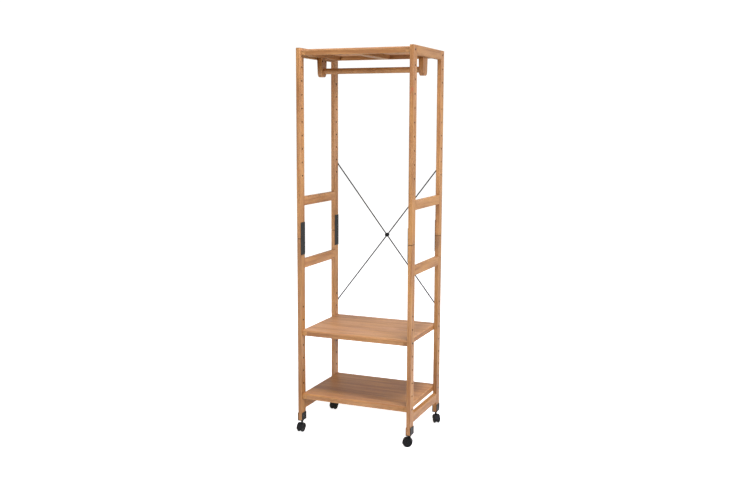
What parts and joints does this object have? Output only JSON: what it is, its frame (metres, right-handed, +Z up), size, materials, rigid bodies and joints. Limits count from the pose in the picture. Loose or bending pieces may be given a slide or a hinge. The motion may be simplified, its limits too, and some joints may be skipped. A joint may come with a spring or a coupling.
{
  "type": "rolling clothes rack",
  "caption": "Tall narrow clothes rack on casters: ladder-like wooden side frames, shelves, a round hanging rod and a black cross brace at the back.",
  "frame": {"origin": "on the floor, under the centre of the rack's width and depth, measured over the posts", "axes": "+Z up, X across the rack's width, -Y towards the front, with the cross brace at the +Y back"},
  "size_m": [0.6215, 0.4596, 1.8733],
  "materials": {
    "frame_wood": "clear satin lacquer on warm brown hardwood",
    "shelf_wood": "clear satin lacquer, slightly lighter and pinker",
    "rod_wood": "turned and lacquered",
    "black_steel": "black powder coat",
    "black_plastic": "moulded black nylon",
    "black_tyre": "moulded black nylon wheels"
  },
  "bodies": {
    "frame": {"left_front_lower_post": "frame_wood", "left_front_upper_post": "frame_wood", "left_front_joint_plate": "black_steel", "left_front_caster_bracket": "black_steel", "left_back_lower_post": "frame_wood", "left_back_upper_post": "frame_wood", "left_back_joint_plate": "black_steel", "left_back_caster_bracket": "black_steel", "left_top_rail": "frame_wood", "left_upper_mid_rail": "frame_wood", "left_lower_mid_rail": "frame_wood", "left_bottom_rail": "frame_wood", "left_rod_holder": "frame_wood", "right_front_lower_post": "frame_wood", "right_front_upper_post": "frame_wood", "right_front_joint_plate": "black_steel", "right_front_caster_bracket": "black_steel", "right_back_lower_post": "frame_wood", "right_back_upper_post": "frame_wood", "right_back_joint_plate": "black_steel", "right_back_caster_bracket": "black_steel", "right_top_rail": "frame_wood", "right_upper_mid_rail": "frame_wood", "right_lower_mid_rail": "frame_wood", "right_bottom_rail": "frame_wood", "right_rod_holder": "frame_wood", "bottom_shelf_panel": "shelf_wood", "bottom_shelf_left_batten": "frame_wood", "bottom_shelf_right_batten": "frame_wood", "bottom_shelf_front_rail": "frame_wood", "bottom_shelf_back_rail": "frame_wood", "bottom_shelf_centre_batten": "frame_wood", "mid_shelf_panel": "shelf_wood", "mid_shelf_left_batten": "frame_wood", "mid_shelf_right_batten": "frame_wood", "mid_shelf_front_rail": "frame_wood", "mid_shelf_back_rail": "frame_wood", "mid_shelf_centre_batten": "frame_wood", "top_shelf_panel": "shelf_wood", "top_shelf_left_batten": "frame_wood", "top_shelf_right_batten": "frame_wood", "top_shelf_front_rail": "frame_wood", "top_shelf_back_rail": "frame_wood", "top_shelf_centre_batten": "frame_wood", "hanging_rod": "rod_wood", "brace_rod_falling": "black_steel", "brace_rod_rising": "black_steel", "brace_clip": "black_plastic"},
    "left_front_caster": {"left_front_caster_body": "black_plastic"},
    "left_front_wheel_a": {"left_front_wheel_a": "black_tyre"},
    "left_front_wheel_b": {"left_front_wheel_b": "black_tyre"},
    "left_back_caster": {"left_back_caster_body": "black_plastic"},
    "left_back_wheel_a": {"left_back_wheel_a": "black_tyre"},
    "left_back_wheel_b": {"left_back_wheel_b": "black_tyre"},
    "right_front_caster": {"right_front_caster_body": "black_plastic"},
    "right_front_wheel_a": {"right_front_wheel_a": "black_tyre"},
    "right_front_wheel_b": {"right_front_wheel_b": "black_tyre"},
    "right_back_caster": {"right_back_caster_body": "black_plastic"},
    "right_back_wheel_a": {"right_back_wheel_a": "black_tyre"},
    "right_back_wheel_b": {"right_back_wheel_b": "black_tyre"}
  },
  "joints": [
    {"name": "left_front_swivel", "type": "hinge", "parent": "frame", "child": "left_front_caster", "pos_m": [-0.285, -0.1955, 0.055], "axis": [0, 0, 1], "continuous": true},
    {"name": "left_front_wheel_a_spin", "type": "hinge", "parent": "left_front_caster", "child": "left_front_wheel_a", "pos_m": [-0.28518, -0.2055, 0.022], "axis": [0.9998, -0.0175, 0], "continuous": true},
    {"name": "left_front_wheel_b_spin", "type": "hinge", "parent": "left_front_caster", "child": "left_front_wheel_b", "pos_m": [-0.28518, -0.2055, 0.022], "axis": [0.9998, -0.0175, 0], "continuous": true},
    {"name": "left_back_swivel", "type": "hinge", "parent": "frame", "child": "left_back_caster", "pos_m": [-0.285, 0.1955, 0.055], "axis": [0, 0, 1], "continuous": true},
    {"name": "left_back_wheel_a_spin", "type": "hinge", "parent": "left_back_caster", "child": "left_back_wheel_a", "pos_m": [-0.28622, 0.18557, 0.022], "axis": [0.9925, -0.1219, 0], "continuous": true},
    {"name": "left_back_wheel_b_spin", "type": "hinge", "parent": "left_back_caster", "child": "left_back_wheel_b", "pos_m": [-0.28622, 0.18557, 0.022], "axis": [0.9925, -0.1219, 0], "continuous": true},
    {"name": "right_front_swivel", "type": "hinge", "parent": "frame", "child": "right_front_caster", "pos_m": [0.285, -0.1955, 0.055], "axis": [0, 0, 1], "continuous": true},
    {"name": "right_front_wheel_a_spin", "type": "hinge", "parent": "right_front_caster", "child": "right_front_wheel_a", "pos_m": [0.27539, -0.19826, 0.022], "axis": [0.2756, -0.9613, 0], "continuous": true},
    {"name": "right_front_wheel_b_spin", "type": "hinge", "parent": "right_front_caster", "child": "right_front_wheel_b", "pos_m": [0.27539, -0.19826, 0.022], "axis": [0.2756, -0.9613, 0], "continuous": true},
    {"name": "right_back_swivel", "type": "hinge", "parent": "frame", "child": "right_back_caster", "pos_m": [0.285, 0.1955, 0.055], "axis": [0, 0, 1], "continuous": true},
    {"name": "right_back_wheel_a_spin", "type": "hinge", "parent": "right_back_caster", "child": "right_back_wheel_a", "pos_m": [0.29074, 0.18731, 0.022], "axis": [0.8192, 0.5736, 0], "continuous": true},
    {"name": "right_back_wheel_b_spin", "type": "hinge", "parent": "right_back_caster", "child": "right_back_wheel_b", "pos_m": [0.29074, 0.18731, 0.022], "axis": [0.8192, 0.5736, 0], "continuous": true}
  ]
}
